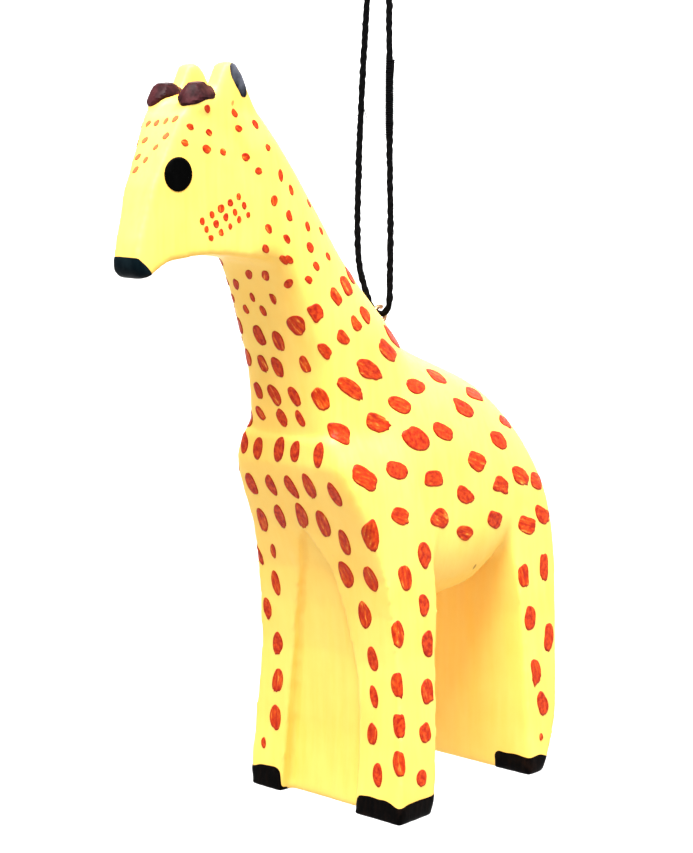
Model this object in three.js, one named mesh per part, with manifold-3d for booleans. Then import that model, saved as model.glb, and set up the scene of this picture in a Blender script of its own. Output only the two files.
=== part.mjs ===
// Painted wooden giraffe ornament that hangs from a thin loop of black cord.
// Units are millimetres and +Z is up. The giraffe faces -Y, its left side is at +X and
// its middle plane is x = 0. The origin is under the top of the cord loop, where a hook
// or a twig holds the ornament. The figure and the cord are drawn first in the figure's
// own frame (z = 0 under the hooves, y = 0 at the front hooves) and then lowered into place.
import * as THREE from 'three';
import { mergeVertices } from 'three/addons/utils/BufferGeometryUtils.js';
import Module from 'manifold-3d';

// ---- driving dimensions -------------------------------------------------------------
const GAP = 0.3; // clearance between two pieces that touch

const HOOF_HALF_WIDTH = 16.75; // the leg slabs flare to this at the ground
const FRONT_SLAB_DEPTH = 8.3; // front legs, front to back, at the ground
const HIND_SLAB_FRONT = 34.1; // y of the hind legs' front face
const PANEL_RECESS = 2.3; // how far the panel between two legs lies behind them at the ground
const PANEL_FADE_Z = 56; // height at which that recess would fade to nothing
const HORN_X = 3.2; // a horn's distance from the middle plane
const EAR_X = 3.8; // an ear's distance from the middle plane, at its root
const EAR_THICKNESS = 3;

const CORD_DIAMETER = 1.1;
const CORD_SIDES = 8;
const CORD_STEPS = 56;
const CORD_BEND = 2.1; // bend radius of the cord in the eye and at the top of the loop
const LOOP_TOP_Z = 139.2; // centreline of the cord at the top of the loop

const EYE_WIRE = 0.72; // diameter of the screw eye's ring wire
const EYE_RING_RADIUS = 1.36; // radius of the ring's centreline
const EYE_Y = 13.9; // centre of the ring, on the middle plane, over the centre of mass
const EYE_Z = 79.6;
const EYE_LEAN = THREE.MathUtils.degToRad(43); // the shank leans forward this far from vertical
const SHANK_DIAMETER = 0.9;
const SHANK_LENGTH = 8;

const SPLICE_DIAMETER = 1.5;
const SPLICE_LENGTH = 12.2;
const SPLICE_SIDES = 12;
const SPLICE_TAPER = 0.7; // length of the cone at each end of the lap
const SPLICE_X = 2;
const SPLICE_Z = 114.5; // middle of the lap where the two ends of the cord join

const BEYOND = 90; // extrusions that only cut run this far past the figure
const CURVE_SEGMENTS = 3; // straight steps between two points of a smooth outline

// ---- materials ------------------------------------------------------------------------
const paintedWood = new THREE.MeshStandardMaterial({ color: 0xf6e27a, roughness: 0.5, metalness: 0 });
const brass = new THREE.MeshStandardMaterial({ color: 0xb07a45, roughness: 0.35, metalness: 1 });
const cotton = new THREE.MeshStandardMaterial({ color: 0x0d0d0f, roughness: 0.95, metalness: 0 });

// ---- solids -----------------------------------------------------------------------------
const wasm = await Module();
wasm.setup();

function toSolid(geometry) {
  const bare = geometry.clone();
  bare.deleteAttribute('normal');
  bare.deleteAttribute('uv');
  const merged = mergeVertices(bare, 1e-4);
  return new wasm.Manifold(
    new wasm.Mesh({
      numProp: 3,
      vertProperties: new Float32Array(merged.attributes.position.array),
      triVerts: new Uint32Array(merged.index.array),
    }),
  );
}

function toGeometry(solid) {
  const mesh = solid.getMesh();
  const geometry = new THREE.BufferGeometry();
  geometry.setAttribute('position', new THREE.BufferAttribute(mesh.vertProperties, 3));
  geometry.setIndex(new THREE.BufferAttribute(mesh.triVerts, 1));
  geometry.computeVertexNormals();
  return geometry;
}

const points = (pairs) => pairs.map(([a, b]) => new THREE.Vector2(a, b));

// An outline that passes smoothly through its points, closed by a straight line.
function outlineOf(smooth) {
  const outline = new THREE.Shape();
  outline.moveTo(...smooth[0]);
  outline.splineThru(points(smooth.slice(1)));
  return outline;
}

const polygonOf = (corners) => new THREE.Shape(points(corners));

// An outline pulled from one level to another along z, then turned by the basis.
function extruded(outline, from, to, basis) {
  const settings = { depth: to - from, bevelEnabled: false, curveSegments: CURVE_SEGMENTS };
  const geometry = new THREE.ExtrudeGeometry(outline, settings);
  geometry.translate(0, 0, from);
  geometry.applyMatrix4(basis);
  return toSolid(geometry);
}

const X = new THREE.Vector3(1, 0, 0);
const Y = new THREE.Vector3(0, 1, 0);
const Z = new THREE.Vector3(0, 0, 1);

// A side outline holds [y, z] pairs and runs from x = from to x = to.
function sideSolid(outline, from = -BEYOND, to = BEYOND) {
  return extruded(outline, from, to, new THREE.Matrix4().makeBasis(Y, Z, X));
}

// A front outline holds [x, z] pairs and runs right through the figure.
function frontSolid(outline) {
  return extruded(outline, -BEYOND, BEYOND, new THREE.Matrix4().makeBasis(X, Z, Y.clone().negate()));
}

// A plan outline holds [x, y] pairs and runs from z = from to z = to.
const planSolid = (outline, from, to) => extruded(outline, from, to, new THREE.Matrix4());

// [half width, level] pairs from bottom to top become a symmetric outline.
const mirrored = (pairs) => polygonOf([...pairs, ...pairs.map(([w, v]) => [-w, v]).reverse()]);

// A skin over rounded sections. place(row, across, along) puts a section point, where
// across and along run from -1 to 1 and the squareness differs on either side.
function skinned(rows, sides, squareness, place) {
  const geometry = new THREE.CylinderGeometry(1, 1, 1, sides, rows.length - 1);
  const position = geometry.attributes.position;
  const power = (value, n) => Math.sign(value) * Math.abs(value) ** (2 / n);
  for (let i = 0; i < position.count; i += 1) {
    const row = rows[Math.round((0.5 + position.getY(i)) * (rows.length - 1))];
    const c = position.getX(i);
    const s = -position.getZ(i);
    const n = s < 0 ? squareness[0] : squareness[1];
    const p = place(row, power(c, n), power(s, n));
    position.setXYZ(i, p.x, p.y, p.z);
  }
  return toSolid(geometry);
}

// ---- the carved body --------------------------------------------------------------------
// Line of the front legs and the chest as [y, z], from the ledge at the neck to the ground.
const CHEST_LINE = [
  [-7.4, 63], [-8.7, 61.6], [-8.6, 57.5], [-7.1, 54], [-3.1, 46],
  [-0.5, 39], [0.5, 33], [1.1, 25], [0.8, 12], [0, 0],
];
// Line of the rump and the hind legs as [y, z], from the back to the ground.
const RUMP_LINE = [[43.4, 50], [45, 46], [46.8, 39], [47, 29], [45.5, 18], [42, 8], [38.6, 0]];

// Front legs and chest: the side outline of one thick slab, cut to its front outline.
function frontLegsAndChest() {
  const side = polygonOf([
    ...CHEST_LINE, [FRONT_SLAB_DEPTH, 0], [10.3, 18], [11.5, 34], [12.4, 44],
    [8, 52], [3, 60], [-1, 66], [-5, 68],
  ]);
  const front = mirrored([
    [HOOF_HALF_WIDTH, 0], [16.65, 5], [15.9, 15], [14.9, 26], [14.7, 33], [13.8, 46], [12.8, 54],
    [11.9, 58.5], [9.8, 62.4], [8.9, 68],
  ]);
  return sideSolid(side).intersect(frontSolid(front));
}

// Hind legs: a slab with a rounded rump behind it, its rear corners planed off.
function hindLegs() {
  const side = polygonOf([...RUMP_LINE, [HIND_SLAB_FRONT, 0], [34.2, 28], [33.4, 40], [34, 50]]);
  const front = mirrored([[HOOF_HALF_WIDTH, 0], [16.3, 8], [15.6, 18], [14.4, 31], [13.3, 43], [12.3, 50]]);
  const plan = mirrored([[18, 30], [18, 39], [15.6, 42.8], [13.2, 45.2], [8, 47.6]]);
  return sideSolid(side).intersect(frontSolid(front)).intersect(planSolid(plan, -1, 60));
}

// Trunk: rounded upright sections along y, from the rump to the chest.
function trunk() {
  const row = (y, bottom, top, half) => ({ y, bottom, top, half });
  const rows = [
    row(46.2, 42, 49.5, 9.5), row(44.6, 41, 54.2, 11.6), row(42.4, 40, 58.8, 12.4),
    row(39.6, 39, 62.8, 12.8), row(36, 38.5, 66, 13.1), row(33.4, 38.5, 67.6, 13.2),
    row(31, 34.8, 68.9, 13.3), row(27, 32.4, 70.5, 13.3), row(20, 31.8, 73.2, 13.2),
    row(12, 32.5, 76.8, 13.1), row(6, 36, 76, 13), row(1, 44, 71, 11.6),
  ];
  const level = 47;
  return skinned(rows, 36, [2.6, 2.1], ({ y, bottom, top, half }, across, along) => {
    const reach = along < 0 ? level - bottom : top - level;
    return new THREE.Vector3(half * across, y, level + reach * along);
  });
}

// Neck: level sections, nearly flat in front and rounded behind.
function neck() {
  const row = (z, front, back, half) => ({ z, front, back, half });
  const rows = [
    row(58, -7.6, 26, 10.2), row(66, -8.7, 22, 9.8), row(73, -9.9, 16.6, 9.4), row(79.4, -12, 11, 9.1),
    row(85, -14.2, 5, 8.6), row(90, -17, 0.4, 8.1), row(96, -18.6, -4, 7.5), row(102, -21, -8.4, 6.9),
    row(107, -24, -12.4, 6.3), row(111, -26, -16, 5.6), row(113, -27, -18.4, 4.9),
  ];
  return skinned(rows, 36, [6, 2.3], ({ z, front, back, half }, across, along) => {
    const widest = front + 0.4 * (back - front);
    const reach = along < 0 ? widest - front : back - widest;
    return new THREE.Vector3(half * across, widest + reach * along, z);
  });
}

// Head: a wedge, steep in front and level below, that narrows towards the nose.
function head() {
  const side = polygonOf([
    [-41.5, 90], [-41.2, 88.8], [-40.2, 88.1], [-39.3, 88.1], [-36, 90.3], [-29.5, 91.2],
    [-21, 90.4], [-16, 89.7], [-14, 97], [-18.6, 108], [-21, 112.6], [-26, 113.4],
    [-31.8, 112.8], [-34, 111.2], [-38.6, 101], [-40.9, 93.5],
  ]);
  const plan = mirrored([[2.4, -42], [2.8, -40], [3.6, -36], [4.7, -32], [5.8, -27], [6.6, -21], [6.3, -10]]);
  const front = mirrored([[6.9, 86], [6.7, 96], [6.2, 102], [5.5, 107], [4.7, 114]]);
  return sideSolid(side)
    .intersect(planSolid(plan, 80, 120))
    .intersect(frontSolid(front));
}

// One horn stub: a short thick bump with a rounded top, right in front of the ear.
function horn(side) {
  const bump = new THREE.SphereGeometry(1, 16, 10);
  bump.scale(2.35, 3.1, 3.2);
  bump.rotateX(THREE.MathUtils.degToRad(12));
  bump.translate(side * HORN_X, -30, 112.8);
  return toSolid(bump);
}

// One ear: an upright pointed leaf in line with the side of the head.
function ear(side) {
  const outline = outlineOf([
    [-28.8, 108], [-28.2, 113.5], [-26.6, 117.4], [-25.4, 118.9], [-23.2, 118.2], [-20.5, 113.5], [-16.9, 108],
  ]);
  const leaf = sideSolid(outline, -EAR_THICKNESS / 2, EAR_THICKNESS / 2);
  return leaf.translate([side * EAR_X, 0, 0]);
}

// The hollow between two legs, as a cutter: a shallow panel that follows the legs' outer
// line and fades out upwards. towards is -1 in front and 1 behind; hollow holds [x, z].
function panelCut(outerLine, towards, hollow) {
  const depthAt = (z) => PANEL_RECESS * Math.sqrt(1 - z / PANEL_FADE_Z);
  const panel = outerLine.filter(([, z]) => z < PANEL_FADE_Z).map(([y, z]) => [y - towards * depthAt(z), z]);
  const [topY, topZ] = panel[0];
  const [footY] = panel[panel.length - 1];
  const far = towards * BEYOND;
  const side = polygonOf([[topY, topZ], ...panel.slice(1), [footY, -1], [far, -1], [far, topZ]]);
  return sideSolid(side).intersect(frontSolid(polygonOf(hollow)));
}

// The hollows are cut freehand, so the two sides of each differ.
const FRONT_HOLLOW = [
  [6.6, -2], [6.9, 10], [6.9, 15], [6.4, 22], [4.4, 31], [2.4, 40], [-1.6, 46.5],
  [-3.2, 44], [-5, 38], [-7, 30], [-8.4, 18], [-9.3, 5], [-9.6, -2],
];
const HIND_HOLLOW = [
  [8.6, -2], [8.4, 14], [6.6, 26], [3, 36], [0.4, 41], [-2.4, 37], [-6.4, 27], [-8.4, 14], [-8.8, -2],
];

// The screw eye's axis: the way its shank goes into the wood, from the middle of the ring.
const eyeCentre = new THREE.Vector3(0, EYE_Y, EYE_Z);
const shankWay = new THREE.Vector3(0, -Math.sin(EYE_LEAN), -Math.cos(EYE_LEAN));

// A round rod that starts on the eye's axis and follows the shank.
function shankRod(diameter, start, length) {
  const rod = new THREE.CylinderGeometry(diameter / 2, diameter / 2, length, 16);
  rod.applyQuaternion(new THREE.Quaternion().setFromUnitVectors(Y.clone().negate(), shankWay));
  const middle = shankWay.clone().multiplyScalar(start + length / 2).add(eyeCentre);
  rod.translate(...middle);
  return toSolid(rod);
}

function carvedBody() {
  let solid = frontLegsAndChest().add(hindLegs()).add(trunk()).add(neck()).add(head());
  for (const side of [-1, 1]) solid = solid.add(horn(side)).add(ear(side));
  return solid
    .subtract(panelCut(CHEST_LINE, -1, FRONT_HOLLOW))
    .subtract(panelCut(RUMP_LINE, 1, HIND_HOLLOW))
    .subtract(shankRod(SHANK_DIAMETER + 2 * GAP, 0, SHANK_LENGTH + EYE_RING_RADIUS + GAP));
}

// ---- the screw eye ------------------------------------------------------------------------
function screwEye() {
  const ring = new THREE.TorusGeometry(EYE_RING_RADIUS, EYE_WIRE / 2, 10, 28);
  ring.rotateY(Math.PI / 2);
  ring.translate(...eyeCentre);
  return toSolid(ring).add(shankRod(SHANK_DIAMETER, EYE_RING_RADIUS, SHANK_LENGTH));
}

// ---- the cord -----------------------------------------------------------------------------
// The cord's lowest point, where it lifts the ring from inside.
const CORD_LOW_Z = EYE_Z + EYE_RING_RADIUS - (EYE_WIRE + CORD_DIAMETER) / 2 - GAP;

// Points of a half turn about [0, z], from the first angle to the second, in [x, z].
function halfTurn(z, from, to) {
  const angles = [0, 0.25, 0.5, 0.75, 1].map((t) => THREE.MathUtils.degToRad(from + t * (to - from)));
  return angles.map((angle) => [CORD_BEND * Math.cos(angle), z + CORD_BEND * Math.sin(angle)]);
}

// The cord's route in [x, z]: down the left strand from the lap, through the ring, up the
// other strand, over the top and down to the lap again.
const CORD_ROUTE = [
  [SPLICE_X, SPLICE_Z - SPLICE_LENGTH / 2 - GAP], [2.1, 105], [2.3, 92], [2.2, 86],
  ...halfTurn(CORD_LOW_Z + CORD_BEND, 0, -150),
  [-3.1, 83.6], [-4.3, 87], [-4.8, 92], [-4.5, 105], [-3.6, 120], [-2.8, 130],
  ...halfTurn(LOOP_TOP_Z - CORD_BEND, 180, 0),
  [1.9, 130], [SPLICE_X, SPLICE_Z + SPLICE_LENGTH / 2 + GAP],
];

function cordLoop() {
  const corner = (i) => {
    const angle = ((i + 0.5) * 2 * Math.PI) / CORD_SIDES;
    return [(CORD_DIAMETER / 2) * Math.cos(angle), (CORD_DIAMETER / 2) * Math.sin(angle)];
  };
  const section = polygonOf(Array.from({ length: CORD_SIDES }, (_, i) => corner(i)));
  const path = new THREE.CatmullRomCurve3(CORD_ROUTE.map(([x, z]) => new THREE.Vector3(x, EYE_Y, z)));
  return new THREE.ExtrudeGeometry(section, { steps: CORD_STEPS, extrudePath: path });
}

// The lap of the two ends, wrapped and glued: a short rod with tapered ends.
function cordSplice() {
  const radius = SPLICE_DIAMETER / 2;
  const half = SPLICE_LENGTH / 2;
  const end = CORD_DIAMETER / 2;
  const shoulder = half - SPLICE_TAPER;
  const profile = [[0, -half], [end, -half], [radius, -shoulder], [radius, shoulder], [end, half], [0, half]];
  const lap = new THREE.LatheGeometry(points(profile), SPLICE_SIDES);
  lap.rotateX(Math.PI / 2);
  lap.translate(SPLICE_X, EYE_Y, SPLICE_Z);
  return lap;
}

// ---- the ornament ---------------------------------------------------------------------------
function pieceOf(name, geometry, material) {
  const mesh = new THREE.Mesh(geometry, material);
  mesh.name = name;
  return mesh;
}

const ornament = new THREE.Group();
ornament.position.set(0, -EYE_Y, CORD_DIAMETER / 2 - LOOP_TOP_Z);

const figure = new THREE.Group();
figure.add(pieceOf('carved_body', toGeometry(carvedBody()), paintedWood));
figure.add(pieceOf('screw_eye', toGeometry(screwEye()), brass));
ornament.add(figure);

const hanger = new THREE.Group();
hanger.add(pieceOf('cord_loop', cordLoop(), cotton));
hanger.add(pieceOf('cord_splice', cordSplice(), cotton));
ornament.add(hanger);
ornament.updateMatrixWorld(true);

export default ornament;
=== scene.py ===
# A small wooden giraffe, carved from one block, painted by hand and hung from a black cord.
#
# Places on the figure are in millimetres: x from the middle plane towards the figure's left,
# y back from the front of the front hooves, z up from the ground under the hooves.
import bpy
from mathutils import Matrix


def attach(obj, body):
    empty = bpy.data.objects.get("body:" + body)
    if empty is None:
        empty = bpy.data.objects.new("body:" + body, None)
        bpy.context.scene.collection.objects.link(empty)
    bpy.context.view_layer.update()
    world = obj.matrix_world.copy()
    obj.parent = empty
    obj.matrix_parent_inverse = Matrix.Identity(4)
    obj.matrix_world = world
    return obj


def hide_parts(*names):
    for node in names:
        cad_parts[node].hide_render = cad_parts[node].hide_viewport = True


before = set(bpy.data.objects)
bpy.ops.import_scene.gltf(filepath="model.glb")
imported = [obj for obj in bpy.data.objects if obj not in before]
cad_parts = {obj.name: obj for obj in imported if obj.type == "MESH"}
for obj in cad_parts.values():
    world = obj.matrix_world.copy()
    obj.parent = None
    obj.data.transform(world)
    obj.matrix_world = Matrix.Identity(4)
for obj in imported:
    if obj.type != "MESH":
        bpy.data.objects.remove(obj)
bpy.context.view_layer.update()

import math
import random

import bpy
import numpy as np
from mathutils import Vector, noise
from mathutils.bvhtree import BVHTree

MM = 0.001
EYE_Y = 13.9        # the screw eye and the cord stand this far behind the front hooves
ORIGIN_Z = 138.65   # the frame's origin: the inside of the cord loop's top


def at(x, y, z):
    """A place on the figure, in the frame's metres."""
    return Vector((x, y - EYE_Y, z - ORIGIN_Z)) * MM


def metres(places):
    """Rows of figure millimetres as rows of frame metres."""
    return (np.asarray(places, float) - (0, EYE_Y, ORIGIN_Z)) * MM


def linked(name, data):
    """A new object in the scene that holds a mesh, a light or a camera."""
    thing = bpy.data.objects.new(name, data)
    bpy.context.scene.collection.objects.link(thing)
    return thing


def mesh_object(name, points, faces):
    """A new smooth-shaded object, from points in metres and faces."""
    mesh = bpy.data.meshes.new(name)
    mesh.from_pydata([tuple(p) for p in points], [], faces)
    mesh.polygons.foreach_set("use_smooth", [True] * len(mesh.polygons))
    mesh.update()
    return linked(name, mesh)


# ---- camera ----
CAMERA_PLACE = at(208.7, -227.62, 105.8)
CAMERA_AZIMUTH = math.radians(41.8)
CAMERA_DOWN = math.radians(7.964)
CAMERA_LENS = 82.508  # focal length, for a sensor this wide, both in millimetres
CAMERA_SENSOR = 36


def make_camera():
    camera = linked("camera", bpy.data.cameras.new("camera"))
    camera.data.sensor_width = CAMERA_SENSOR
    camera.data.lens = CAMERA_LENS
    camera.data.clip_start = 0.01
    camera.data.clip_end = 20
    camera.location = CAMERA_PLACE
    camera.rotation_euler = (math.pi / 2 - CAMERA_DOWN, 0, CAMERA_AZIMUTH)
    bpy.context.scene.camera = camera


# ---- materials ----
# A noise's scale counts its features per metre, or per millimetre of a dab's uv map, and a
# bump's depth is in metres. Colours are linear red, green and blue.
class Nodes:
    """The nodes of a new material or world, with short names for the kinds used here."""

    def __init__(self, owner, shader="Principled BSDF"):
        owner.use_nodes = True
        self.owner = owner
        self.tree = owner.node_tree
        self.shader = self.tree.nodes[shader]

    def feed(self, socket, value):
        """Links a socket to another node's output, or sets it to a plain value."""
        if isinstance(value, bpy.types.NodeSocket):
            self.tree.links.new(value, socket)
        else:
            socket.default_value = value

    def add(self, kind, inputs, output, **settings):
        """The named output of a new node of this kind."""
        node = self.tree.nodes.new(kind)
        for key, value in settings.items():
            setattr(node, key, value)
        for name, value in inputs.items():
            self.feed(node.inputs[name], value)
        return node.outputs[output]

    def set(self, **values):
        for name, value in values.items():
            self.feed(self.shader.inputs[name.replace("_", " ")], value)

    def coordinates(self, stretch=(1, 1, 1), source="Object"):
        place = self.add("ShaderNodeTexCoord", {}, source)
        return self.add("ShaderNodeMapping", {"Vector": place, "Scale": stretch}, "Vector")

    def attribute(self, name):
        return self.add("ShaderNodeAttribute", {}, "Fac", attribute_name=name)

    def noise(self, scale, vector, detail=4, roughness=0.55):
        inputs = {"Vector": vector, "Scale": scale, "Detail": detail, "Roughness": roughness}
        return self.add("ShaderNodeTexNoise", inputs, "Fac")

    def ramp(self, factor, *stops):
        colour = self.add("ShaderNodeValToRGB", {"Fac": factor}, "Color")
        elements = colour.node.color_ramp.elements
        while len(elements) < len(stops):
            elements.new(0.5)
        for element, (position, tint) in zip(elements, stops):
            element.position = position
            element.color = (*tint, 1)
        return colour

    def grey(self, factor, start, end, low, high):
        inputs = {"Value": factor, "From Min": start, "From Max": end, "To Min": low, "To Max": high}
        return self.add("ShaderNodeMapRange", inputs, "Result")

    def mix(self, factor, first, second):
        """From the first colour to the second, which may be plain. Its sockets go by number."""
        if isinstance(second, tuple):
            second = (*second, 1)
        return self.add("ShaderNodeMix", {0: factor, 6: first, 7: second}, 2, data_type="RGBA")

    def bump(self, height, depth, strength=1.0, before=None):
        inputs = {"Height": height, "Distance": depth, "Strength": strength}
        if before is not None:
            inputs["Normal"] = before
        return self.add("ShaderNodeBump", inputs, "Normal")


def yellow_paint():
    """Butter yellow, brushed on mostly downwards, a little thinly laid and dirty in places, and darkened in
    its hollows as painted shade.
    """
    n = Nodes(bpy.data.materials.new("butter_yellow_paint"))
    strokes = n.noise(900, n.coordinates((1, 1, 0.09)), detail=5)
    clouds = n.noise(75, n.coordinates())
    grain = n.noise(2600, n.coordinates((1, 1, 0.5)), detail=3)
    paint = n.ramp(clouds, (0.3, (0.985, 0.575, 0.088)), (0.7, (0.995, 0.655, 0.128)))
    paint = n.mix(n.grey(strokes, 0.35, 0.75, 0.0, 0.16), paint, (0.99, 0.78, 0.26))
    scuffs = n.noise(210, n.coordinates((1, 1.6, 0.7)), detail=8, roughness=0.7)
    paint = n.mix(n.grey(scuffs, 0.69, 0.80, 0.0, 0.5), paint, (0.80, 0.48, 0.10))
    # Painted shade: the paint turns deep orange in the hollows, where shade falls.
    crease_shade = n.attribute("crease_shade")
    paint = n.mix(n.grey(crease_shade, 0.35, 1.0, 0.0, 0.42), paint, (0.90, 0.44, 0.03))
    specks = n.noise(420, n.coordinates((1, 1, 0.6)), detail=1)
    paint = n.mix(n.grey(specks, 0.795, 0.82, 0.0, 0.8), paint, (0.42, 0.16, 0.02))
    relief = n.bump(grain, 0.00003, 0.35)
    relief = n.bump(strokes, 0.00011, 0.6, relief)
    n.set(Base_Color=paint, Roughness=n.grey(strokes, 0.3, 0.8, 0.42, 0.6), Normal=relief)
    n.set(Specular_IOR_Level=0.4)
    return n.owner


def dab_paint(name, painted_highlight=0.0):
    """Red-orange, laid with one touch of the brush: streaks along the touch, a darker edge.
    The uv map holds the place in the dab, and tone holds how loaded the brush was."""
    n = Nodes(bpy.data.materials.new(name))
    along = n.coordinates((0.55, 2.0, 1), source="UV")
    streaks = n.noise(0.8, along, detail=5, roughness=0.6)
    blotches = n.noise(1.3, n.coordinates(source="UV"), detail=2)
    tone = n.attribute("tone")
    rim = n.attribute("rim")
    fresh = n.ramp(streaks, (0.32, (0.31, 0.006, 0.001)), (0.47, (0.48, 0.026, 0.002)),
                   (0.58, (0.66, 0.085, 0.004)), (0.68, (0.94, 0.38, 0.06)))
    full = n.ramp(blotches, (0.35, (0.34, 0.009, 0.002)), (0.65, (0.62, 0.058, 0.006)))
    colour = n.mix(n.grey(tone, 0.25, 1.0, 0.0, 0.95), full, fresh)
    # Painted highlight: the flecks on top of the head are lightened towards pale orange, as if lit from
    # above.
    if painted_highlight > 0:
        colour = n.mix(painted_highlight, colour, (0.95, 0.50, 0.16))
    colour = n.mix(n.grey(rim, 0.76, 1.0, 0.0, 0.50), colour, (0.26, 0.008, 0.002))
    relief = n.bump(streaks, 0.00007, 0.8)
    n.set(Base_Color=colour, Roughness=n.grey(streaks, 0.3, 0.7, 0.34, 0.5), Normal=relief)
    n.set(Specular_IOR_Level=0.16)
    return n.owner


def coat_paint(name, dark, light, roughness, worn=0.0, gloss=0.05):
    """A dark coat with streaks of its lighter tint; worn is how much of it the light part takes."""
    n = Nodes(bpy.data.materials.new(name))
    strokes = n.noise(1300, n.coordinates((1, 1, 0.25)), detail=5)
    patches = n.noise(330, n.coordinates(), detail=3)
    colour = n.ramp(patches, (0.62 - 0.3 * worn, dark), (0.86 - 0.25 * worn, light))
    colour = n.mix(n.grey(strokes, 0.45, 0.75, 0.0, 0.35), colour, light)
    relief = n.bump(strokes, 0.00008, 0.7)
    n.set(Base_Color=colour, Roughness=n.grey(patches, 0.3, 0.7, roughness - 0.06, roughness + 0.08))
    n.set(Normal=relief, Specular_IOR_Level=gloss)
    return n.owner


def cotton_cord():
    n = Nodes(bpy.data.materials.new("black_cotton"))
    yarn = n.noise(5200, n.coordinates(), detail=5, roughness=0.7)
    colour = n.ramp(yarn, (0.3, (0.0012, 0.0012, 0.0012)), (0.8, (0.006, 0.006, 0.007)))
    n.set(Base_Color=colour, Roughness=n.grey(yarn, 0.3, 0.8, 0.85, 1.0))
    n.set(Normal=n.bump(yarn, 0.00012, 0.9), Specular_IOR_Level=0.02)
    return n.owner


def eye_metal():
    n = Nodes(bpy.data.materials.new("copper_brown_metal"))
    tarnish = n.noise(900, n.coordinates(), detail=5)
    colour = n.ramp(tarnish, (0.35, (0.36, 0.15, 0.06)), (0.65, (0.72, 0.42, 0.22)))
    n.set(Base_Color=colour, Metallic=1.0, Roughness=n.grey(tarnish, 0.3, 0.7, 0.22, 0.42))
    n.set(Normal=n.bump(tarnish, 0.00004, 0.5))
    return n.owner


def pale_stage():
    n = Nodes(bpy.data.materials.new("pale_stage"))
    clouds = n.noise(3, n.coordinates())
    n.set(Base_Color=n.ramp(clouds, (0.3, (0.60, 0.60, 0.60)), (0.7, (0.64, 0.64, 0.64))))
    n.set(Roughness=0.9, Specular_IOR_Level=0.1)
    return n.owner


# ---- the cord ----
CORD_BEND = 2.1
CORD_LOW = 79.75      # the cord's middle line where it lifts the eye
LOOP_TOP = 139.2      # and at the top of the loop
CORD_STEP = 0.24      # distance between two rings of the cord's plies
FINE_STEPS = 40       # steps between two places of a path before they are evened out
PLIES = 3
PLY_RADIUS = 0.385
PLY_OFFSET = 0.17     # a ply's middle line lies this far from the cord's
TWIST_PITCH = 4.4     # a ply goes once round the cord in this length
LOOSE_FIBRES = 150    # short ones, all along the cord

LAP_X, LAP_Z, LAP_LENGTH = 2, 114.5, 12.2
LAP_END = LAP_LENGTH / 2 - 1.2  # each end of the cord starts this far from the lap's middle
LAP_CORE = 0.50       # radius of the two ends laid together
THREAD_RADIUS = 0.165
THREAD_TURNS = 34
LAP_TUFT = 9          # frayed fibres at each end of the lap


def half_turn(z, first, last):
    """Five places round a bend of the cord, seen from the front, in [x, z]."""
    angles = [math.radians(first + step * (last - first) / 4) for step in range(5)]
    return [(CORD_BEND * math.cos(a), z + CORD_BEND * math.sin(a)) for a in angles]


CORD_ROUTE = [
    (LAP_X, LAP_Z - LAP_END), (2.1, 105), (2.3, 92), (2.2, 86),
    *half_turn(CORD_LOW + CORD_BEND, 0, -150),
    (-3.1, 83.6), (-4.3, 87), (-4.8, 92), (-4.5, 105), (-3.6, 120), (-2.8, 130),
    *half_turn(LOOP_TOP - CORD_BEND, 180, 0),
    (1.9, 130), (LAP_X, LAP_Z + LAP_END),
]


def smooth_path(places, spacing):
    """A centripetal curve through the places, cut into steps of about the given spacing."""
    p = [np.array(place, float) for place in places]
    p = [2 * p[0] - p[1], *p, 2 * p[-1] - p[-2]]
    fine = []
    for a, b, c, d in zip(p, p[1:], p[2:], p[3:]):
        t0 = 0.0
        t1 = t0 + math.sqrt(np.linalg.norm(b - a))
        t2 = t1 + math.sqrt(np.linalg.norm(c - b))
        t3 = t2 + math.sqrt(np.linalg.norm(d - c))
        for t in np.linspace(t1, t2, FINE_STEPS, endpoint=False):
            ab = ((t1 - t) * a + (t - t0) * b) / (t1 - t0)
            bc = ((t2 - t) * b + (t - t1) * c) / (t2 - t1)
            cd = ((t3 - t) * c + (t - t2) * d) / (t3 - t2)
            abc = ((t2 - t) * ab + (t - t0) * bc) / (t2 - t0)
            bcd = ((t3 - t) * bc + (t - t1) * cd) / (t3 - t1)
            fine.append(((t2 - t) * abc + (t - t1) * bcd) / (t2 - t1))
    fine = np.array([*fine, p[-2]])
    travelled = np.concatenate([[0], np.cumsum(np.linalg.norm(np.diff(fine, axis=0), axis=1))])
    stops = np.linspace(0, travelled[-1], round(travelled[-1] / spacing) + 1)
    return np.stack([np.interp(stops, travelled, fine[:, k]) for k in range(fine.shape[1])], 1)


def tube(centres, radii, sides, points, faces):
    """Adds a closed tube along the centres to a mesh's points and faces."""
    centres = np.asarray(centres, float)
    ways = np.gradient(centres, axis=0)
    ways /= np.linalg.norm(ways, axis=1)[:, None]
    # Any way that isn't nearly the tube's own serves to start its first ring.
    across = np.cross(ways[0], (0.31, 0.17, 0.93) if abs(ways[0][2]) < 0.9 else (1, 0, 0))
    first = len(points)
    for centre, way, radius in zip(centres, ways, radii):
        across = across - way * across.dot(way)
        across /= np.linalg.norm(across)
        other = np.cross(way, across)
        for k in range(sides):
            turn = 2 * math.pi * k / sides
            points.append(centre + radius * (math.cos(turn) * across + math.sin(turn) * other))
    for ring in range(len(centres) - 1):
        row = first + ring * sides
        for k in range(sides):
            after = (k + 1) % sides
            faces.append((row + k, row + after, row + sides + after, row + sides + k))
    faces.append(tuple(range(first + sides - 1, first - 1, -1)))
    last = first + (len(centres) - 1) * sides
    faces.append(tuple(range(last, last + sides)))


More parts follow.
